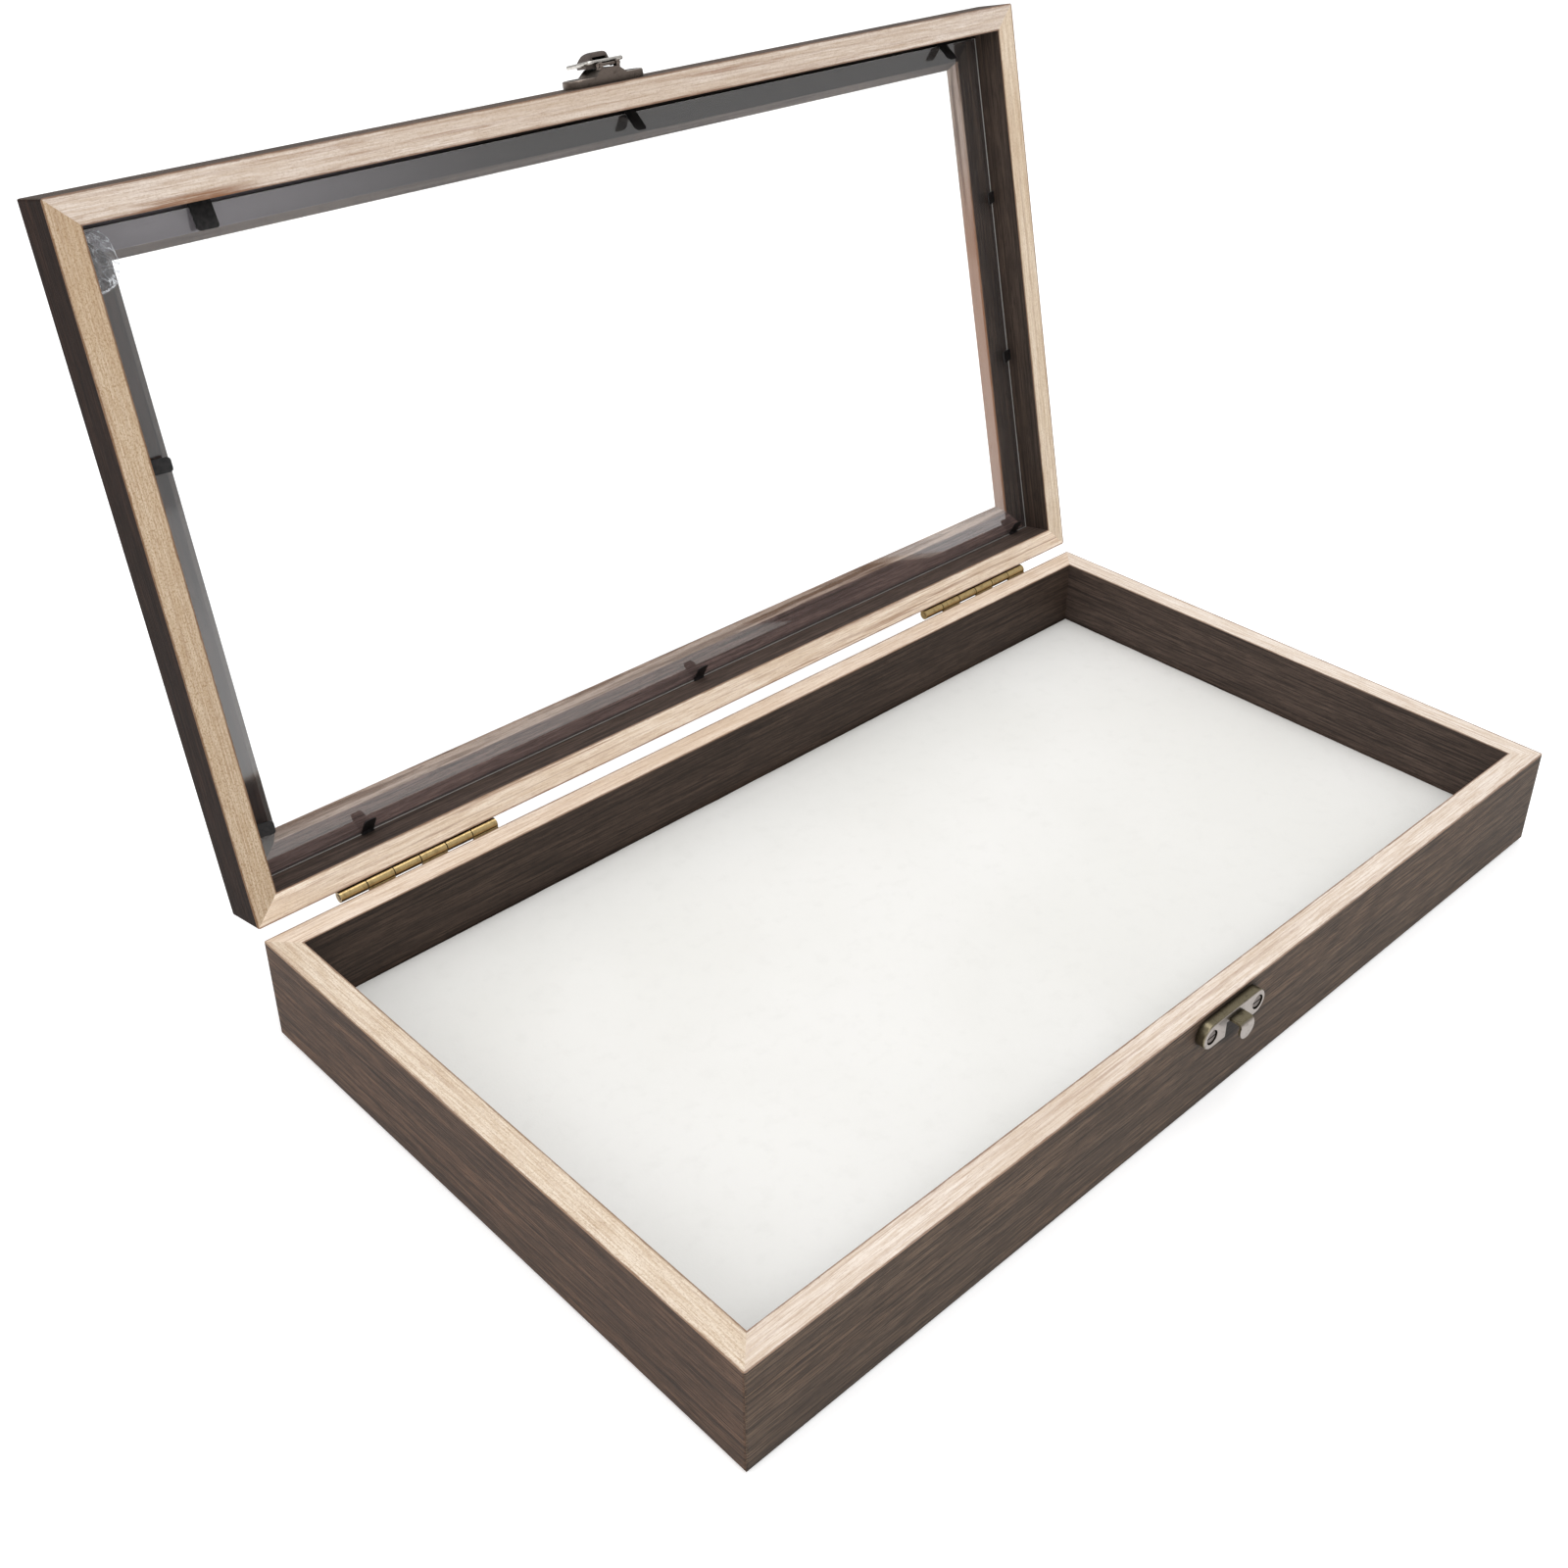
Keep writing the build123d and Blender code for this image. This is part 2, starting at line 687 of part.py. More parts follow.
with BuildPart() as wire_loop:
    with BuildLine(loop_plane) as loop_path:
        FilletPolyline(
            (-loop_joint, 0),
            (-loop_spread, 0),
            (-loop_spread, loop_length),
            (loop_spread, loop_length),
            (loop_spread, 0),
            (loop_joint, 0),
            radius=loop_corner,
        )
    with BuildSketch(Plane(origin=loop_path.line @ 0, z_dir=loop_path.line % 0)):
        Circle(wire_radius)
    sweep(path=loop_path.line)
    with BuildSketch(latch_profile_plane.offset(-loop_joint)) as joint:
        with Locations(loop_place):
            Circle(wire_radius)
    extrude(joint.sketch, amount=2 * loop_joint)
save(wire_loop.part, "wire_loop")

hasp_plane_up = Axis(hasp_plane.origin, hasp_plane.y_dir)


def lever_flange(inset, bottom, top):
    """Flat part of the lever: a narrow neck that widens into a round-ended flange."""
    half_neck = neck_half_width - inset
    half_flange = flange_half_width - inset
    shoulder = flange_tip - flange_end - inset
    with BuildSketch(hasp_plane.offset(bottom)) as plan:
        with BuildLine():
            Polyline(
                (half_flange, shoulder),
                (half_flange, flange_start + flange_flare),
                (half_neck, flange_start),
                (half_neck, loop_up),
                (-half_neck, loop_up),
                (-half_neck, flange_start),
                (-half_flange, flange_start + flange_flare),
                (-half_flange, shoulder),
            )
            ThreePointArc((-half_flange, shoulder), (0, flange_tip - inset), (half_flange, shoulder))
        make_face()
        fillet(plan.vertices().sort_by(hasp_plane_up)[2:], flange_corner)
    with BuildPart() as body:
        extrude(plan.sketch, amount=top - bottom)
    return body.part


def lever_dome(inset, foot):
    """Hollow rise on the flange: high near the neck and sloping to the tip, with rounded sides."""
    crown = dome_peak_out - inset
    with BuildSketch(latch_profile_plane.offset(-dome_half_width)) as side_view:
        with BuildLine():
            Spline(
                (dome_near_out - inset, dome_start + inset),
                (crown, dome_peak_up),
                (foot, dome_tip - inset),
                tangents=((1, 0.15), (-1, 0.55)),
            )
            Polyline(
                (foot, dome_tip - inset),
                (foot, dome_start + inset),
                (dome_near_out - inset, dome_start + inset),
            )
        make_face()
    end_plane = Plane(
        origin=hasp_plane.from_local_coords((0, dome_start, 0)),
        x_dir=(1, 0, 0),
        z_dir=-hasp_plane.y_dir,
    )
    with BuildSketch(end_plane) as end_view:
        Polygon(
            (-dome_half_width + inset, foot),
            (dome_half_width - inset, foot),
            (dome_crown_half_width - inset, crown),
            (-dome_crown_half_width + inset, crown),
            align=None,
        )
        for side in (-1, 1):
            shoulder = (side * (dome_crown_half_width - inset), crown)
            fillet(vertices().sort_by_distance(shoulder)[0], dome_crown_round - inset)
    with BuildPart() as body:
        extrude(side_view.sketch, amount=2 * dome_half_width)
        extrude(end_view.sketch, amount=-(dome_tip - dome_start), mode=Mode.INTERSECT)
    return body.part


flange_bottom = flange_top - flange_rim
flange_inside = flange_top - lever_shell
eye_radius = wire_radius + running_clearance + neck_wall
flange_body = lever_flange(0, flange_bottom, flange_top)
flange_hollow = lever_flange(lever_shell, flange_bottom, flange_inside)
dome_body = lever_dome(0, flange_inside)
dome_hollow = lever_dome(lever_shell, flange_top)

with BuildPart() as latch_lever:
    add(flange_body)
    add(flange_hollow, mode=Mode.SUBTRACT)
    add(dome_body)
    add(dome_hollow, mode=Mode.SUBTRACT)
    # slot in the dome's near end
    with BuildSketch(hasp_plane.offset(flange_top + dome_slot_lift)):
        with Locations((0, dome_start)):
            Rectangle(dome_slot_width, 4 * lever_shell)
    extrude(amount=dome_slot_height, mode=Mode.SUBTRACT)
    # neck round the lever's pin and the loop's near bar
    with BuildSketch(latch_profile_plane.offset(-neck_half_width)) as neck:
        with Locations(lever_place):
            Circle(lug_radius)
        with Locations(loop_place):
            Circle(eye_radius)
        make_hull()
    extrude(neck.sketch, amount=2 * neck_half_width)
    for place, radius in ((lever_place, lever_pin_radius), (loop_place, wire_radius)):
        with BuildSketch(latch_profile_plane.offset(-flange_half_width)):
            with Locations(place):
                Circle(radius + running_clearance)
        extrude(amount=2 * flange_half_width, mode=Mode.SUBTRACT)
save(latch_lever.part, "latch_lever")
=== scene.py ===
"""Looks of a hinged wooden display case: stained and bare wood, foam, glazing, film and metal fittings."""

import json
import math
from dataclasses import dataclass

import bmesh
import bpy
from mathutils import Matrix, Vector, noise


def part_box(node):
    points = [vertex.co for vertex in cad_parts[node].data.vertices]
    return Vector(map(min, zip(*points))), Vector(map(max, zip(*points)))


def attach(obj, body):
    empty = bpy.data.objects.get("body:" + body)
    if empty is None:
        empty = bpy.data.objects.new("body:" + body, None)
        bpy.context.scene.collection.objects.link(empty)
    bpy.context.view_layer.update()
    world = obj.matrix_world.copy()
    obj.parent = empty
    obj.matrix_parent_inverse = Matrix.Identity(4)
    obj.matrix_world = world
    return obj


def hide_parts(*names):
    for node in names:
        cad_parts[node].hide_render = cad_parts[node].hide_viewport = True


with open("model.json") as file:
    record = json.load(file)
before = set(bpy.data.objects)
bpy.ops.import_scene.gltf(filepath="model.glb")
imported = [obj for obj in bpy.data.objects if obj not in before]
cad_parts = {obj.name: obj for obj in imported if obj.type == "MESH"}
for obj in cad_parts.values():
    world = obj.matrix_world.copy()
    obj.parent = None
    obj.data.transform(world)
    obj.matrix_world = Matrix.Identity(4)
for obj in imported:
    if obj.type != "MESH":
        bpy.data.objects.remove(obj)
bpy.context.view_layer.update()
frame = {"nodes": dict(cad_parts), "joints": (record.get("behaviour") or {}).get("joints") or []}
nodes = frame["nodes"]

MM = 0.001


# ---- places, in mm, from the frame ----


def box_mm(node):
    """Lowest and highest corner of a CAD node."""
    low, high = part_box(node)
    return low / MM, high / MM


left_low, left_high = box_mm("base_left_rail")
front_high = box_mm("base_front_rail")[1]
pad_low, pad_high = box_mm("foam_pad")
catch_low, catch_high = box_mm("catch_plate")
WALL = left_high.x - left_low.x
INNER_X = -left_high.x
INNER_Y = -front_high.y
BASE_HEIGHT = front_high.z
PAD_HALF_X, PAD_HALF_Y, PAD_TOP = pad_high
PAD_BOTTOM = pad_low.z
LATCH_X = (catch_low.x + catch_high.x) / 2

# the shut lid's own frame: from the middle of its meeting face, y to the hinges and z out of the case
lid_hinge = next(joint for joint in frame["joints"] if joint["child"] == "lid")
OPEN_ANGLE = math.radians(lid_hinge["range_deg"][1])
HINGE = Vector(lid_hinge["pos_m"]) / MM
LID_BACK = Vector((0, math.cos(OPEN_ANGLE), -math.sin(OPEN_ANGLE)))
LID_OUT = Vector((0, math.sin(OPEN_ANGLE), math.cos(OPEN_ANGLE)))
meeting_face = min(vertex.co.dot(LID_OUT) / MM for vertex in nodes["lid_left_rail"].data.vertices)
LID_ORIGIN = HINGE - LID_BACK * HINGE.y + LID_OUT * (meeting_face - HINGE.dot(LID_OUT))


def lid_point(x, y, z):
    """World place, in metres, of a point in the lid's own frame, in mm."""
    return (LID_ORIGIN + Vector((x, 0, 0)) + LID_BACK * y + LID_OUT * z) * MM


def in_lid(node):
    """Points of a CAD node in the lid's own frame, in mm."""
    points = [vertex.co / MM - LID_ORIGIN for vertex in nodes[node].data.vertices]
    return [Vector((point.x, point.dot(LID_BACK), point.dot(LID_OUT))) for point in points]


sheet_points = in_lid("glazing_sheet")
SHEET_HALF_X = max(point.x for point in sheet_points)
SHEET_FRONT = min(point.y for point in sheet_points)
SHEET_REAR = max(point.y for point in sheet_points)
SHEET_INNER = min(point.z for point in sheet_points)
SHEET_OUTER = max(point.z for point in sheet_points)
# the sheet lies on the lip's ledge; the lip slopes off from the ledge's end
ledge_points = [point for point in in_lid("lid_back_rail") if abs(point.z - SHEET_OUTER) < 0.01]
LEDGE_WIDTH = INNER_Y - min(point.y for point in ledge_points)


# ---- camera ----

FOCAL_PX, CENTRE_X, CENTRE_Y, IMAGE = 1876.0, 844.7, 715.5, 1600.0
SENSOR = 36.0
eye = Vector((-344.12, -295.63, 360.09)) * MM
forward = Vector((0.59744, 0.60838, -0.52244)).normalized()
right = Vector((0.71700, -0.69702, 0.00825))
right = (right - forward * right.dot(forward)).normalized()
up = right.cross(forward)

camera_data = bpy.data.cameras.new("camera")
camera_data.sensor_width = SENSOR
camera_data.lens = FOCAL_PX / IMAGE * SENSOR
camera_data.shift_x = (IMAGE / 2 - CENTRE_X) / IMAGE
camera_data.shift_y = (CENTRE_Y - IMAGE / 2) / IMAGE
camera_data.clip_start = 0.01
camera_data.clip_end = 20.0
camera = bpy.data.objects.new("camera", camera_data)
bpy.context.scene.collection.objects.link(camera)
axes = Matrix((right, up, -forward)).transposed()
camera.matrix_world = Matrix.Translation(eye) @ axes.to_4x4()
bpy.context.scene.camera = camera


# ---- node helpers ----

MIX_A, MIX_B, MIX_RESULT = 6, 7, 2  # the colour sockets of a Mix node, whose names other sockets share


def srgb(r, g, b):
    """Linear colour of an 8-bit display colour."""
    def linear(value):
        value /= 255.0
        return value / 12.92 if value <= 0.04045 else ((value + 0.055) / 1.055) ** 2.4
    return (linear(r), linear(g), linear(b), 1.0)


def gain(r, g=None, b=None):
    """Factors that a colour is multiplied by; one number is for all three channels."""
    return (r, r if g is None else g, r if b is None else b, 1.0)


class Tree:
    """Short names for the nodes of one material."""

    def __init__(self, name):
        self.material = bpy.data.materials.new(name)
        self.material.use_nodes = True
        self.tree = self.material.node_tree
        self.tree.nodes.clear()

    def node(self, kind, **values):
        made = self.tree.nodes.new(kind)
        for key, value in values.items():
            setattr(made, key, value)
        return made

    def feed(self, socket, value):
        """Link a socket, or set a number or colour on it."""
        if isinstance(value, bpy.types.NodeSocket):
            self.tree.links.new(value, socket)
        else:
            socket.default_value = value

    def fill(self, made, *values):
        """Feed a node's inputs in their order."""
        for socket, value in zip(made.inputs, values):
            self.feed(socket, value)
        return made

    def math(self, operation, *values):
        return self.fill(self.node("ShaderNodeMath", operation=operation), *values).outputs[0]

    def times(self, a, b):
        return self.math("MULTIPLY", a, b)

    def minus(self, a, b):
        return self.math("SUBTRACT", a, b)

    def size(self, value):
        return self.math("ABSOLUTE", value)

    def ramp(self, value, low, high, to_low=0.0, to_high=1.0):
        """Smooth step of a value between two places."""
        made = self.node("ShaderNodeMapRange", interpolation_type="SMOOTHSTEP")
        return self.fill(made, value, low, high, to_low, to_high).outputs[0]

    def mix(self, factor, a, b, blend="MIX"):
        made = self.node("ShaderNodeMix", data_type="RGBA", blend_type=blend)
        made.clamp_factor = True
        self.feed(made.inputs["Factor"], factor)
        self.feed(made.inputs[MIX_A], a)
        self.feed(made.inputs[MIX_B], b)
        return made.outputs[MIX_RESULT]

    def shaders(self, factor, a, b):
        """Mix of two shaders."""
        return self.fill(self.node("ShaderNodeMixShader"), factor, a.outputs[0], b.outputs[0])

    def place(self, lid):
        """Coordinates in mm in the tray's frame, or in the shut lid's own frame."""
        mapping = self.node("ShaderNodeMapping")
        self.feed(mapping.inputs["Vector"], self.node("ShaderNodeTexCoord").outputs["Object"])
        mapping.inputs["Scale"].default_value = (1 / MM,) * 3
        if lid:
            turn = Matrix.Rotation(OPEN_ANGLE, 3, "X")
            mapping.inputs["Rotation"].default_value = (OPEN_ANGLE, 0, 0)
            mapping.inputs["Location"].default_value = -(turn @ LID_ORIGIN)
        return mapping.outputs[0]

    def split(self, vector):
        return self.fill(self.node("ShaderNodeSeparateXYZ"), vector).outputs

    def join(self, x, y, z):
        return self.fill(self.node("ShaderNodeCombineXYZ"), x, y, z).outputs[0]

    def scaled(self, vector, scale, shift=(0, 0, 0)):
        """Vector times a scale, one number or one for each axis, plus a shift."""
        mapping = self.node("ShaderNodeMapping")
        mapping.inputs["Scale"].default_value = (scale,) * 3 if isinstance(scale, float) else scale
        mapping.inputs["Location"].default_value = shift
        self.feed(mapping.inputs["Vector"], vector)
        return mapping.outputs[0]

    def noise(self, vector, scale, detail, roughness, shift=(0, 0, 0), distortion=0.0):
        made = self.node("ShaderNodeTexNoise")
        self.feed(made.inputs["Vector"], self.scaled(vector, scale, shift))
        made.inputs["Scale"].default_value = 1.0
        made.inputs["Detail"].default_value = detail
        made.inputs["Roughness"].default_value = roughness
        made.inputs["Distortion"].default_value = distortion
        return made.outputs["Fac"]

    def cells(self, vector, scale, shift=(0, 0, 0)):
        """Distance to the nearest of many scattered points."""
        made = self.node("ShaderNodeTexVoronoi")
        self.feed(made.inputs["Vector"], self.scaled(vector, scale, shift))
        made.inputs["Scale"].default_value = 1.0
        return made.outputs["Distance"]

    def ellipse(self, a, b, middle, halves):
        """Squared distance from an ellipse's middle: 1 on its outline."""
        squares = []
        for value, centre, half in zip((a, b), middle, halves):
            share = self.math("DIVIDE", self.minus(value, centre), half)
            squares.append(self.math("POWER", self.size(share), 2.0))
        return self.math("ADD", *squares)

    def openness(self, distance, samples):
        """1 on open faces, less in corners and hollows."""
        made = self.node("ShaderNodeAmbientOcclusion", samples=samples)
        made.inputs["Distance"].default_value = distance
        return made.outputs["AO"]

    def turned(self, direction):
        """Cosine between the surface's normal and a direction."""
        made = self.node("ShaderNodeVectorMath", operation="DOT_PRODUCT")
        return self.fill(made, self.node("ShaderNodeTexCoord").outputs["Normal"], direction).outputs["Value"]

    def bump(self, height, strength, distance):
        made = self.node("ShaderNodeBump")
        made.inputs["Strength"].default_value = strength
        made.inputs["Distance"].default_value = distance
        self.feed(made.inputs["Height"], height)
        return made.outputs[0]

    def clear(self, colour):
        return self.fill(self.node("ShaderNodeBsdfTransparent"), colour)

    def principled(self, **values):
        shader = self.node("ShaderNodeBsdfPrincipled")
        for key, value in values.items():
            self.feed(shader.inputs[key.replace("_", " ")], value)
        return shader

    def finish(self, shader):
        output = self.node("ShaderNodeOutputMaterial")
        self.tree.links.new(shader.outputs[0], output.inputs["Surface"])
        return self.material


def dress(material, *names):
    """Give CAD nodes a material."""
    for name in names:
        data = nodes[name].data
        data.materials.clear()
        data.materials.append(material)


# ---- wood ----

DARK_OUT = srgb(98, 81, 69)
DARK_OUT_LOW = srgb(50, 40, 34)
DARK_OUT_WARM = srgb(112, 84, 64)
DARK_IN = srgb(72, 59, 51)
DARK_IN_LOW = srgb(44, 35, 30)
# dark of the pores and grain lines, and of the painted shade by the hook and the latch
DARK_PORE_AND_SHADE = srgb(26, 21, 18)
PALE = srgb(238, 220, 200)
PALE_LOW = srgb(206, 180, 152)
PALE_STREAK = srgb(148, 106, 78)
PALE_FLECK = srgb(168, 137, 100)
CREPT_STAIN = srgb(122, 86, 62)
RUN_STAIN = srgb(140, 94, 60)
LIP_PALE_AND_SHEEN = srgb(196, 172, 156)
LIP_STREAK = srgb(128, 98, 78)
LIP_AMBER_LIT = srgb(176, 118, 76)
# painted reflection of the bright surroundings on the front ledge
LEDGE_REFLECTION_GREY = srgb(150, 144, 150)

WOOD_GLOSS = 0.22
BARE_DEPTH = 0.08  # the bare face turns to stain between these depths, mm
STAIN_DEPTH = 0.30
HOOK_SHADE_ASIDE = 3.2  # middle of the shade by the hook, from the latch's middle and below the rim, mm
HOOK_SHADE_BELOW = 11.0
HOOK_SHADE_RADIUS = 6.4
LATCH_SHADE_REACH = 0.007  # reach of the painted shade round the latch, m
LEDGE_REFLECTION_FROM = -150.0  # painted reflection: the front ledge is greyest at its left end
LEDGE_REFLECTION_TO = -20.0
LIT_AMBER_FROM = -62.0  # the right slope turns amber towards the hinges: thinner stain and painted light
LIT_AMBER_TO = -12.0
RUN_SPAN = (-158.0, -146.0, -132.0, -116.0)  # run of stain on the lid's front rail: fades in, fades out
RUN_WIDTH = (1.4, 3.0)


@dataclass
class Looks:
    """How one rail's wood differs from the others'. The gains were matched rail by rail, so beside the stain
    they partly hold painted light and shade.
    """

    bare: tuple  # gain of the face that meets the other half
    stain: tuple  # gain of the stained faces
    flecks: float
    streaks: float
    figure: float
    slope: float = 0.0  # how pale the slope round the window is: less stain, and a painted reflection
    ledge: tuple = gain(1.0)  # gain of the glazing's ledge, which also holds a painted reflection seen through the glazing
    side: tuple = ()  # gain of the outer side: painted shade, for a side that gets little light
    gloss: float = WOOD_GLOSS


RAILS = {
    "base_front": Looks(gain(1.08, 1.15, 1.27), gain(1.07, 1.04, 0.95), 0.15, 0.5, 0.4),
    "base_back": Looks(gain(1.14, 1.18, 1.25), gain(1.27, 1.24, 1.2), 0.2, 0.2, 0.25),
    "base_left": Looks(gain(1.04, 1.08, 1.11), gain(1.05, 0.86, 0.71), 0.45, 0.0, 0.35),
    "base_right": Looks(gain(1.13, 1.22, 1.36), gain(1.82, 1.87, 1.96), 0.3, 0.0, 0.3),
    "lid_front": Looks(
        gain(0.90, 0.94, 1.03), gain(1.1), 0.3, 0.8, 0.3, slope=0.15, ledge=gain(1.3, 1.2, 1.2)
    ),
    "lid_back": Looks(
        gain(1.27, 1.33, 1.40), gain(1.74, 1.78, 1.88), 0.25, 0.9, 0.3, slope=0.85, ledge=gain(2.5, 2.3, 2.5)
    ),
    "lid_left": Looks(
        gain(0.78, 0.75, 0.69),
        gain(1.1),
        0.8,
        0.0,
        0.3,
        ledge=gain(0.75, 0.6, 0.6),
        side=gain(0.27, 0.18, 0.15),
        gloss=0.07,
    ),
    "lid_right": Looks(gain(0.99, 1.02, 1.02), gain(1.24), 0.35, 0.4, 0.3, slope=0.7, ledge=gain(1.3)),
}


class Wood(Tree):
    """One rail's own axes, and the fibres that run along it."""

    def __init__(self, rail, seed):
        super().__init__(f"{rail}_wood")
        half, self.side = rail.split("_")
        self.lid = half == "lid"
        self.rail, self.seed = rail, seed
        self.shift = (seed * 37.3, seed * 11.9, seed * 5.7)
        self.x, self.y, self.z = self.split(self.place(self.lid))
        along, across, self.inner_half = self.x, self.y, INNER_Y
        if self.side in ("left", "right"):
            along, across, self.inner_half = self.y, self.x, INNER_X
        self.grain = self.join(along, across, self.z)
        # distance from the middle of the case, and whether that is the rail's outer half
        self.off_middle = self.size(across)
        wall_middle = self.inner_half + WALL / 2
        self.outside = self.ramp(self.off_middle, wall_middle - 1.0, wall_middle + 1.0)

        # fibres, coarse to fine, and the open pores and dark lines between them
        self.coarse = self.fibres((0.02, 0.55, 0.55), 4.0, 0.65)
        self.fine = self.fibres((0.075, 1.9, 1.9), 4.0, 0.75)
        self.hair = self.fibres((0.2, 3.6, 3.6), 3.0, 0.7)
        self.pores = self.ramp(self.hair, 0.55, 0.64)
        self.lines = self.ramp(self.fibres((0.014, 1.5, 1.5), 4.0, 0.65), 0.53, 0.6)
        self.patch = self.fibres((0.012, 0.07, 0.07), 3.0, 0.5)

    def fibres(self, scale, detail, roughness, shift=None, distortion=0.0):
        """Noise stretched along the rail."""
        return self.noise(self.grain, scale, detail, roughness, shift or self.shift, distortion)


def stained_faces(w, looks):
    """Colour of the stained faces; the walls inside are darker."""
    dark = w.mix(w.outside, DARK_IN, DARK_OUT)
    low = w.mix(w.outside, DARK_IN_LOW, DARK_OUT_LOW)
    dark = w.mix(w.times(w.ramp(w.patch, 0.48, 0.64, 0.0, 0.2), w.outside), dark, DARK_OUT_WARM)
    colour = w.mix(w.ramp(w.coarse, 0.42, 0.62, 0.0, 0.4), dark, low)
    colour = w.mix(w.ramp(w.fine, 0.44, 0.58, 0.0, 0.75), colour, low)
    # growth figure: broad contour bands that wander along the rail
    broad = w.fibres((0.0045, 0.045, 0.045), 2.0, 0.5, distortion=0.5)
    rings = w.ramp(w.math("SINE", w.times(broad, 95.0)), -0.2, 1.0, 0.0, looks.figure)
    colour = w.mix(rings, colour, low)
    colour = w.mix(w.times(w.ramp(w.patch, 0.3, 0.5, 0.35, 0.0), w.outside), colour, low)
    colour = w.mix(w.times(w.lines, 0.6), colour, DARK_PORE_AND_SHADE)
    colour = w.mix(w.times(w.pores, 0.6), colour, DARK_PORE_AND_SHADE)
    stain = looks.stain
    # painted shade: the outer side of a rail that gets little light is darker
    if looks.side:
        outer = w.inner_half + WALL
        stain = w.mix(w.ramp(w.off_middle, outer - 0.5, outer - 0.1), stain, looks.side)
    colour = w.mix(1.0, colour, stain, "MULTIPLY")
    if w.rail == "base_front":
        # deep shade behind and below the hook
        middle = (LATCH_X + HOOK_SHADE_ASIDE, BASE_HEIGHT - HOOK_SHADE_BELOW)
        off = w.ellipse(w.x, w.z, middle, (HOOK_SHADE_RADIUS,) * 2)
        colour = w.mix(w.times(w.ramp(off, 0.2, 1.6, 0.9, 0.0), w.outside), colour, DARK_PORE_AND_SHADE)
    if w.side == "front":
        # painted shade: the front rails darken where something near hides them, most of all behind the latch
        latch_shade = w.ramp(w.openness(LATCH_SHADE_REACH, 8), 0.35, 0.85, 0.8, 0.0)
        colour = w.mix(latch_shade, colour, DARK_PORE_AND_SHADE)
    return ledge_and_slope(w, looks, colour) if w.lid else colour


def ledge_and_slope(w, looks, stained):
    """Colour of a lid rail with the ledge under the glazing and the slope round the window."""
    # the ledge's gain also holds a painted reflection
    ledge = w.mix(1.0, stained, looks.ledge, "MULTIPLY")
    # painted reflection: grey on the front ledge, fading to the right
    if w.rail == "lid_front":
        ledge = w.mix(w.ramp(w.x, LEDGE_REFLECTION_FROM, LEDGE_REFLECTION_TO, 0.9, 0.0), ledge, LEDGE_REFLECTION_GREY)
    on_ledge = w.ramp(w.size(w.minus(w.z, SHEET_OUTER)), 0.05, 0.1, 1.0, 0.0)
    colour = w.mix(on_ledge, stained, ledge)
    # the slope took less stain, and its pale colour also holds a painted reflection
    slope = w.mix(w.ramp(w.coarse, 0.42, 0.6), LIP_PALE_AND_SHEEN, LIP_STREAK)
    slope = w.mix(w.times(w.pores, 0.5), slope, DARK_IN)
    # thinner stain and painted light: the right slope turns amber towards the hinges
    if w.rail == "lid_right":
        slope = w.mix(w.ramp(w.y, LIT_AMBER_FROM, LIT_AMBER_TO, 0.0, 0.85), slope, LIP_AMBER_LIT)
    ledge_end = w.inner_half - LEDGE_WIDTH
    on_slope = w.ramp(w.off_middle, ledge_end - 0.15, ledge_end, looks.slope, 0.0)
    return w.mix(on_slope, colour, slope)


def bare_face(w, looks):
    """Colour of the face that meets the other half."""
    colour = w.mix(w.ramp(w.fine, 0.4, 0.62, 0.0, 0.75), PALE, PALE_LOW)
    colour = w.mix(w.ramp(w.patch, 0.45, 0.7, 0.0, 0.5), colour, PALE_LOW)
    colour = w.mix(w.ramp(w.coarse, 0.5, 0.66, 0.0, 0.35), colour, PALE_LOW)
    colour = w.mix(w.times(w.pores, 0.28), colour, PALE_STREAK)
    colour = w.mix(w.times(w.lines, 0.22), colour, PALE_STREAK)
    speck = w.fibres((1.6, 2.4, 2.4), 3.0, 0.75)
    colour = w.mix(w.ramp(speck, 0.47, 0.66, 0.0, looks.flecks), colour, PALE_FLECK)
    if looks.streaks:
        band = w.fibres((0.009, 0.42, 0.42), 4.0, 0.7, (w.seed * 3.1, w.seed * 7.7, 0))
        line = w.fibres((0.02, 1.6, 1.6), 3.0, 0.6, (w.seed * 2.3, w.seed * 5.1, 0))
        streak = w.times(w.ramp(band, 0.52, 0.66, 0.0, looks.streaks), w.ramp(line, 0.4, 0.6, 0.35, 1.0))
        colour = w.mix(streak, colour, PALE_STREAK)

    # stain that crept over the face's edges
    from_inside = w.minus(w.off_middle, w.inner_half)
    from_outside = w.minus(w.inner_half + WALL, w.off_middle)
    creep = w.fibres((0.12, 0.6, 0.6), 5.0, 0.75)
    past = w.minus(w.math("MINIMUM", from_inside, from_outside), creep)
    colour = w.mix(w.ramp(past, -0.3, 0.1, 0.8, 0.0), colour, CREPT_STAIN)
    if w.rail == "lid_front":
        # a run of stain along the inner edge, near the corner
        start, full, fading, end = RUN_SPAN
        span = w.times(w.ramp(w.x, start, full), w.ramp(w.x, fading, end, 1.0, 0.0))
        beside = w.ramp(from_inside, *RUN_WIDTH, 1.0, 0.0)
        drawn = w.ramp(w.fibres((0.03, 0.9, 0.9), 4.0, 0.7, (4.1, 8.3, 0)), 0.34, 0.52, 0.0, 0.85)
        colour = w.mix(w.times(drawn, w.times(beside, span)), colour, RUN_STAIN)
    return w.mix(1.0, colour, looks.bare, "MULTIPLY")


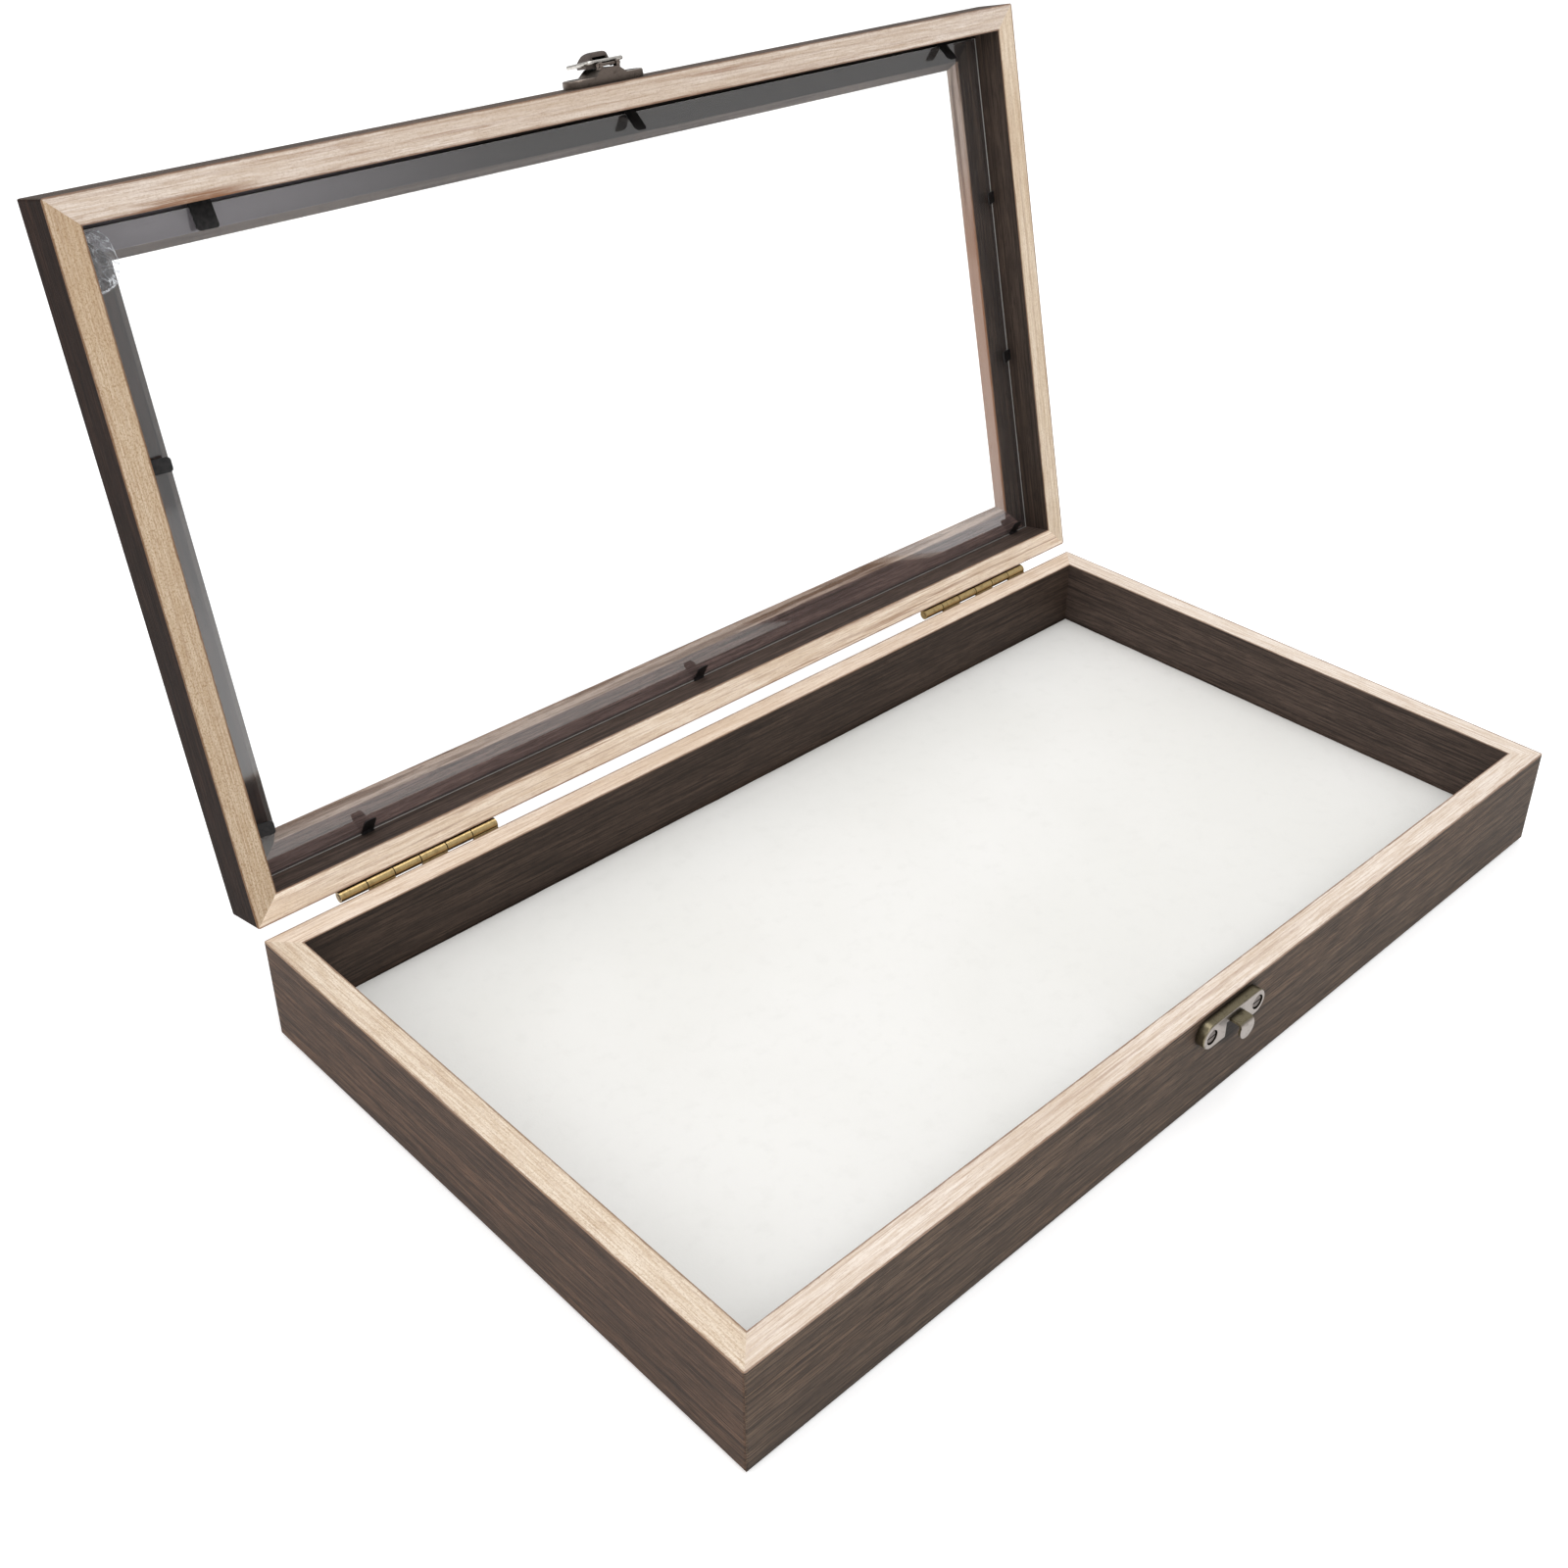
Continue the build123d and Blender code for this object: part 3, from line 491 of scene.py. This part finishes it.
def wood(rail, seed, looks):
    """Stained wood with its grain along one rail, bare on the face that meets the other half."""
    w = Wood(rail, seed)
    depth = w.z if w.lid else w.minus(BASE_HEIGHT, w.z)
    bare = w.ramp(depth, BARE_DEPTH, STAIN_DEPTH, 1.0, 0.0)
    relief = w.math("ADD", w.times(w.fine, 0.6), w.times(w.hair, 0.4))
    shader = w.principled(
        Base_Color=w.mix(bare, stained_faces(w, looks), bare_face(w, looks)),
        Roughness=w.math("MULTIPLY_ADD", w.fine, 0.15, 0.58),
        Specular_IOR_Level=looks.gloss,
        Normal=w.bump(relief, 0.4, 0.0003),
    )
    return w.finish(shader)


for number, (rail, looks) in enumerate(RAILS.items()):
    dress(wood(rail, number + 1.0, looks), f"{rail}_rail")


def board():
    """Thin stained board of the tray's floor."""
    t = Tree("floor_board")
    where = t.place(False)
    fine = t.noise(where, (0.03, 1.2, 1.2), 5.0, 0.65)
    patch = t.noise(where, (0.008, 0.03, 0.03), 3.0, 0.5, distortion=0.5)
    colour = t.mix(t.ramp(fine, 0.35, 0.7), srgb(84, 70, 61), srgb(58, 47, 41))
    colour = t.mix(t.ramp(patch, 0.4, 0.7, 0.0, 0.5), colour, srgb(98, 80, 66))
    return t.finish(t.principled(Base_Color=colour, Roughness=0.62, Normal=t.bump(fine, 0.3, 0.0003)))


dress(board(), "base_panel")


# ---- metal ----

HINGE_HIGHLIGHT_FACING = (0, -0.5, 0.866)  # faces of the knuckles that look this way get a painted highlight
METAL_RELIEF = 0.0001  # m
DARK_OLIVE = srgb(34, 29, 22)


def metal(name, bright, dull, roughness, scale, round_bar=False):
    """Plated metal, its tone varying at random, bright on open faces and dull in its hollows."""
    t = Tree(name)
    where = t.place(False)
    cloud = t.noise(where, scale, 4.0, 0.6)
    grain = t.noise(where, scale * 6, 3.0, 0.6)
    bright_share = t.times(t.ramp(t.openness(0.0025, 6), 0.35, 0.9), t.ramp(cloud, 0.25, 0.55, 0.55, 1.0))
    if round_bar:
        # painted highlight along the crown, painted shade down the flanks
        bright_share = t.times(bright_share, t.ramp(t.turned(HINGE_HIGHLIGHT_FACING), 0.1, 0.97, 0.25, 1.0))
    shader = t.principled(
        Base_Color=t.mix(bright_share, dull, bright),
        Metallic=1.0,
        Roughness=t.math("MULTIPLY_ADD", grain, 0.2, roughness - 0.1),
        Normal=t.bump(grain, 0.25, METAL_RELIEF),
    )
    return t.finish(shader)


def pressed(name, front, rest, lid):
    """Bronze plating: a painted reflection gives the faces that look away from the wood their own colour,
    and it is dark in its hollows.
    """
    t = Tree(name)
    where = t.place(lid)
    cloud = t.noise(where, 0.6, 4.0, 0.6)
    grain = t.noise(where, 4.0, 3.0, 0.6)
    # painted reflection: faces that look away from the wood take the first colour
    bright_share = t.ramp(t.turned(-LID_BACK if lid else (0, -1, 0)), 0.55, 0.95)
    lit = t.times(t.ramp(t.openness(0.003, 6), 0.35, 0.9), t.ramp(cloud, 0.25, 0.5, 0.6, 1.0))
    shader = t.principled(
        Base_Color=t.mix(lit, DARK_OLIVE, t.mix(bright_share, rest, front)),
        Metallic=0.9,
        Roughness=t.math("MULTIPLY_ADD", grain, 0.2, 0.2),
        Normal=t.bump(grain, 0.25, METAL_RELIEF),
    )
    return t.finish(shader)


BRASS = metal("hinge_metal", srgb(206, 180, 128), srgb(96, 74, 40), 0.3, 0.5, round_bar=True)
SCREW_BRASS = metal("hinge_screws", srgb(205, 172, 112), srgb(96, 72, 38), 0.36, 0.5)
# each pressed metal's first colour is its painted reflection on the faces that look away from the wood
CATCH = pressed("catch_metal", srgb(150, 142, 136), srgb(128, 119, 96), lid=False)
HASP = pressed("hasp_metal", srgb(152, 142, 134), srgb(120, 108, 100), lid=True)
LEVER = pressed("lever_metal", srgb(92, 84, 80), srgb(116, 105, 100), lid=True)
WIRE = metal("wire_metal", srgb(204, 200, 194), srgb(84, 78, 70), 0.25, 0.6)
SCREW_BRONZE = metal("latch_screws", srgb(92, 82, 76), srgb(18, 13, 12), 0.3, 0.6)

for side in ("left", "right"):
    dress(BRASS, f"hinge_{side}_lid_leaf", f"hinge_{side}_base_leaf", f"hinge_{side}_pin")
    dress(SCREW_BRASS, f"hinge_{side}_lid_screws", f"hinge_{side}_base_screws")
dress(CATCH, "catch_plate")
dress(HASP, "hasp_plate", "lever_pin")
dress(LEVER, "latch_lever")
dress(WIRE, "wire_loop")
dress(SCREW_BRONZE, "catch_screws", "hasp_screws")


def black_tabs():
    """Blackened spring steel."""
    t = Tree("black_tabs")
    cloud = t.noise(t.place(True), 0.8, 4.0, 0.6)
    shader = t.principled(
        Base_Color=t.mix(t.ramp(cloud, 0.3, 0.7), srgb(22, 21, 22), srgb(44, 42, 42)),
        Metallic=0.35,
        Roughness=t.math("MULTIPLY_ADD", cloud, 0.2, 0.3),
        Normal=t.bump(cloud, 0.2, METAL_RELIEF),
    )
    return t.finish(shader)


dress(black_tabs(), "front_tabs", "back_tabs", "left_tabs", "right_tabs")


# ---- glazing ----

FACE_MIRROR = 0.14  # the ledge touches the outer face, so the inner face carries the mirror of both
GRAZING_MIRROR = 0.85
CUT_EDGE = (0.02, 0.06)  # a place this near the sheet's outline is on its cut edge, mm


def glazing():
    """Clear sheet: see-through faces, and cut edges with a painted highlight along the inner arris and
    painted shade on the rest.
    """
    t = Tree("glazing")
    where = t.place(True)
    x, y, z = t.split(where)
    gloss = t.node("ShaderNodeBsdfGlossy")
    gloss.inputs["Color"].default_value = (1.0, 1.0, 1.0, 1.0)
    t.feed(gloss.inputs["Roughness"], t.ramp(t.noise(where, 0.02, 3.0, 0.5), 0.3, 0.8, 0.03, 0.06))
    facing = t.node("ShaderNodeLayerWeight")
    facing.inputs["Blend"].default_value = 0.5
    straight = t.ramp(z, SHEET_INNER + 0.5, SHEET_INNER + 1.0, FACE_MIRROR, 0.0)
    grazing = t.math("POWER", facing.outputs["Facing"], 5.0)
    mirror = t.math("MULTIPLY_ADD", grazing, GRAZING_MIRROR, straight)
    face = t.shaders(mirror, t.clear((0.992, 0.994, 0.993, 1.0)), gloss)
    # painted highlight along the cut edge's inner arris, painted shade on the rest of it
    past_arris = t.ramp(z, SHEET_INNER + 0.3, SHEET_INNER + 0.45)
    edge_colour = t.mix(past_arris, srgb(206, 206, 202), srgb(56, 46, 42))
    edge = t.principled(Base_Color=edge_colour, Roughness=0.35)
    from_ends = t.math("MINIMUM", t.minus(SHEET_REAR, y), t.minus(y, SHEET_FRONT))
    inward = t.math("MINIMUM", t.minus(SHEET_HALF_X, t.size(x)), from_ends)
    return t.finish(t.shaders(t.ramp(inward, *CUT_EDGE, 1.0, 0.0), face, edge))


dress(glazing(), "glazing_sheet")


# ---- film ----

BUBBLE_MIDDLE = (-161.8, -82.0)  # of the film's loose, crumpled corner, in the lid's own frame
BUBBLE_HALVES = (5.4, 7.6)
BUBBLE_LIFT = 2.2  # height of its dome, of the folds in it and of the sharp creases
FOLD_LIFT = 1.4
CREASE_LIFT = 2.6
FOLDS_FROM = (-INNER_X - 1.0, -INNER_Y - 2.0)  # the folds run out from here
FINE_STEP = 0.35  # spacing of the film's mesh over the loose corner
FINE_COUNT = (48, 60)
COARSE_STEP = (15.8, 9.4)  # and beyond it
FILM_GAP = 0.05  # between the film and the sheet


def film_material():
    """Thin clear film, faintly hazy where it is crumpled, with painted highlights along its folds and round
    the loose corner's rim.
    """
    t = Tree("film")
    where = t.place(True)
    x, y, _ = t.split(where)
    wobble = t.math("MULTIPLY_ADD", t.noise(where, 0.22, 2.0, 0.5), 0.9, -0.45)
    reach = t.math("ADD", t.ellipse(x, y, BUBBLE_MIDDLE, BUBBLE_HALVES), wobble)
    corner_x, corner_y = FOLDS_FROM
    angle = t.math("ARCTAN2", t.minus(y, corner_y), t.minus(x, corner_x))
    away = t.math("SQRT", t.ellipse(x, y, FOLDS_FROM, (1.0, 1.0)))
    spokes = t.join(t.times(angle, 5.0), t.times(away, 0.16), 0.0)
    fold = t.noise(spokes, 1.0, 4.0, 0.7, distortion=0.6)
    # painted highlights along the folds' ridges and round the loose corner's rim, over a faint haze
    ridge = t.ramp(t.size(t.minus(fold, 0.5)), 0.0, 0.05, 0.95, 0.0)
    ridge = t.times(ridge, t.ramp(reach, 0.15, 0.8, 0.25, 1.0))
    rim = t.ramp(t.size(t.minus(reach, 0.92)), 0.0, 0.12, 0.6, 0.0)
    crumpled = t.math("MAXIMUM", t.math("ADD", ridge, 0.12), rim)
    haze_and_glint = t.math("MAXIMUM", t.times(crumpled, t.ramp(reach, 1.0, 1.08, 1.0, 0.0)), 0.02)
    haze_and_glint_shader = t.principled(Base_Color=srgb(236, 240, 246), Roughness=0.25, Specular_IOR_Level=0.9)
    return t.finish(t.shaders(haze_and_glint, t.clear((0.995, 0.995, 0.995, 1.0)), haze_and_glint_shader))


def mesh_grid(mesh, grid):
    """Faces between rows of vertices."""
    for low, high in zip(grid, grid[1:]):
        for corners in zip(low, low[1:], high[1:], high):
            mesh.faces.new(corners)


def mesh_object(mesh, name, material, smooth):
    """Object made of a finished mesh."""
    data = bpy.data.meshes.new(name)
    mesh.to_mesh(data)
    mesh.free()
    data.materials.append(material)
    for polygon in data.polygons:
        polygon.use_smooth = smooth
    made = bpy.data.objects.new(name, data)
    bpy.context.scene.collection.objects.link(made)
    return made


def film_lines(start, end, fine_count, coarse_step):
    """Lines of the film's mesh: close together over the loose corner, far apart beyond it."""
    lines = [start + FINE_STEP * i for i in range(fine_count)]
    while lines[-1] + coarse_step < end:
        lines.append(lines[-1] + coarse_step)
    return lines + [end]


def film_lift(x, y):
    """How far the film stands off the sheet."""
    share_x = (x - BUBBLE_MIDDLE[0]) / BUBBLE_HALVES[0]
    share_y = (y - BUBBLE_MIDDLE[1]) / BUBBLE_HALVES[1]
    dome = math.sqrt(max(0.0, 1.0 - share_x**2 - share_y**2))
    fold = noise.fractal(Vector((x * 0.3, y * 0.22, 3.7)), 0.8, 2.2, 4)
    crease = abs(noise.noise(Vector((x * 0.4, y * 0.3, 9.1))))
    return dome * (BUBBLE_LIFT + FOLD_LIFT * fold + CREASE_LIFT * crease)


def make_film():
    """The film: a flat sheet with its loose, crumpled corner."""
    xs = film_lines(-SHEET_HALF_X, SHEET_HALF_X, FINE_COUNT[0], COARSE_STEP[0])
    ys = film_lines(SHEET_FRONT, SHEET_REAR, FINE_COUNT[1], COARSE_STEP[1])
    mesh = bmesh.new()
    grid = []
    for y in ys:
        row = [lid_point(x, y, SHEET_INNER - FILM_GAP - film_lift(x, y)) for x in xs]
        grid.append([mesh.verts.new(point) for point in row])
    mesh_grid(mesh, grid)
    return mesh_object(mesh, "film_sheet", film_material(), smooth=False)


film = make_film()
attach(film, "lid")
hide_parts("protective_film")


# ---- foam pad ----

PAD_STEP = 2.4  # spacing of the mesh over the top
PAD_RIM = ((0.0, 1.25), (0.12, 0.62), (0.45, 0.22), (1.0, 0.0))  # distance from the edge, and drop there
PAD_SLACK = 0.22  # how far the top lies under the CAD pad's, so that its waves stay within it
PAD_WAVE = 0.2  # height of the top's faint waves
PAD_SINK = 0.16  # how far the top sinks at its edges, and how far in from them
PAD_SINK_WIDTH = 9.0
CUT_LONG_WAVE = 0.28  # how far a cut edge wanders in, in long waves and in short ones
CUT_SHORT_WAVE = 0.12
CUT_DEPTH = 6.0  # how far in from the edge the mesh follows the uneven cut
RIGHT_CUT, LEFT_CUT, BACK_CUT, FRONT_CUT = 2.0, 7.0, 12.0, 17.0  # each side wanders in its own way
FOOT_LIFT = 0.02  # of the underside over the board


def foam_material():
    """White closed-cell foam: fine skin, faint marks and specks."""
    t = Tree("foam")
    where = t.place(False)
    cloud = t.noise(where, 0.012, 3.0, 0.5)
    mottle = t.noise(where, 0.2, 4.0, 0.6)
    colour = t.mix(t.ramp(cloud, 0.3, 0.7), srgb(244, 243, 240), srgb(239, 238, 234))
    colour = t.mix(t.ramp(mottle, 0.5, 0.75, 0.0, 0.25), colour, srgb(231, 230, 226))
    specks = t.cells(where, (0.035, 0.035, 0.0), (4.3, 1.1, 0))
    colour = t.mix(t.ramp(specks, 0.012, 0.02, 0.55, 0.0), colour, srgb(120, 108, 96))
    skin = t.math("ADD", t.times(t.cells(where, 1.6), 0.5), mottle)
    normal = t.bump(skin, 0.12, 0.0004)
    return t.finish(t.principled(Base_Color=colour, Roughness=0.85, Specular_IOR_Level=0.2, Normal=normal))


def pad_top(x, y, to_edge):
    """Height of the pad's faintly wavy top, which sinks a little towards its edges."""
    wave = noise.noise(Vector((x * 0.011, y * 0.011, 1.3)))
    return PAD_TOP - PAD_SLACK + PAD_WAVE * wave - PAD_SINK * math.exp(-to_edge / PAD_SINK_WIDTH)


def pad_cut(along, side):
    """How far a cut edge wanders in from its straight line."""
    long_wave = noise.noise(Vector((along * 0.035, side, 0.0)))
    short_wave = noise.noise(Vector((along * 0.16, side, 4.0)))
    return abs(CUT_LONG_WAVE * long_wave + CUT_SHORT_WAVE * short_wave)


def pad_lines(half):
    """Lines of the pad's mesh across one side, each with its drop: the rim's at both ends, even between."""
    rim = PAD_RIM[:-1]
    inset = PAD_RIM[-1][0]
    count = round(2 * half / PAD_STEP)
    even = [(-half + inset + 2 * (half - inset) * i / count, 0.0) for i in range(count + 1)]
    start = [(-half + distance, drop) for distance, drop in rim]
    end = [(half - distance, drop) for distance, drop in reversed(rim)]
    return start + even + end


def make_foam():
    """The pad as a soft cut sheet: rounded rim, uneven cut edges and a faintly wavy top."""
    mesh = bmesh.new()
    grid = []
    for y, drop_y in pad_lines(PAD_HALF_Y):
        row = []
        for x, drop_x in pad_lines(PAD_HALF_X):
            to_side, to_end = PAD_HALF_X - abs(x), PAD_HALF_Y - abs(y)
            in_x = pad_cut(y, RIGHT_CUT if x > 0 else LEFT_CUT) * max(0.0, 1.0 - to_side / CUT_DEPTH)
            in_y = pad_cut(x, BACK_CUT if y > 0 else FRONT_CUT) * max(0.0, 1.0 - to_end / CUT_DEPTH)
            z = pad_top(x, y, min(to_side, to_end)) - max(drop_x, drop_y)
            point = Vector((x - math.copysign(in_x, x), y - math.copysign(in_y, y), z))
            row.append(mesh.verts.new(point * MM))
        grid.append(row)
    mesh_grid(mesh, grid)
    # cut sides and underside
    border = grid[0] + [row[-1] for row in grid[1:]]
    border += grid[-1][-2::-1] + [row[0] for row in reversed(grid[1:-1])]
    foot_z = (PAD_BOTTOM + FOOT_LIFT) * MM
    foot = [mesh.verts.new(Vector((vertex.co.x, vertex.co.y, foot_z))) for vertex in border]
    for i, vertex in enumerate(border):
        k = (i + 1) % len(border)
        mesh.faces.new((vertex, foot[i], foot[k], border[k]))
    mesh.faces.new(foot[::-1])
    bmesh.ops.recalc_face_normals(mesh, faces=mesh.faces)
    return mesh_object(mesh, "foam_sheet", foam_material(), smooth=True)


foam = make_foam()
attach(foam, "base")
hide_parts("foam_pad")


# ---- studio, in metres ----

FLOOR_SIZE = 12.0
FLOOR_DROP = 0.0002  # the floor lies this far under the case, so that their faces don't coincide


def studio_floor():
    """Pale seamless floor."""
    t = Tree("studio_floor")
    soft = t.noise(t.place(False), 0.002, 2.0, 0.5)
    shader = t.principled(
        Base_Color=t.mix(soft, (0.93, 0.93, 0.93, 1), (0.95, 0.95, 0.95, 1)),
        Roughness=0.9,
        Emission_Color=(1.0, 1.0, 1.0, 1.0),
        Emission_Strength=0.42,
    )
    return t.finish(shader)


bpy.ops.mesh.primitive_plane_add(size=FLOOR_SIZE, location=(0, 0, -FLOOR_DROP))
floor = bpy.context.object
floor.name = "studio_floor"
floor.data.materials.append(studio_floor())

world = bpy.data.worlds.new("studio")
bpy.context.scene.world = world
world.use_nodes = True
background = world.node_tree.nodes["Background"]
background.inputs["Color"].default_value = (1.0, 1.0, 1.0, 1.0)
background.inputs["Strength"].default_value = 0.6


def area_light(name, place, target, size, power):
    """Large soft lamp aimed at a point."""
    lamp = bpy.data.lights.new(name, "AREA")
    lamp.shape = "DISK"
    lamp.size = size
    lamp.energy = power
    made = bpy.data.objects.new(name, lamp)
    made.location = place
    made.rotation_mode = "QUATERNION"
    made.rotation_quaternion = (Vector(target) - Vector(place)).to_track_quat("-Z", "Y")
    bpy.context.scene.collection.objects.link(made)


area_light("key", (-0.5, -0.9, 1.5), (0, 0, 0.05), 1.1, 8.0)
area_light("fill", (-1.4, 0.2, 0.9), (0, 0, 0.05), 1.0, 3.0)
area_light("top", (0.3, 0.3, 1.8), (0, 0, 0.0), 1.2, 9.0)

bpy.context.scene.view_settings.view_transform = "Standard"
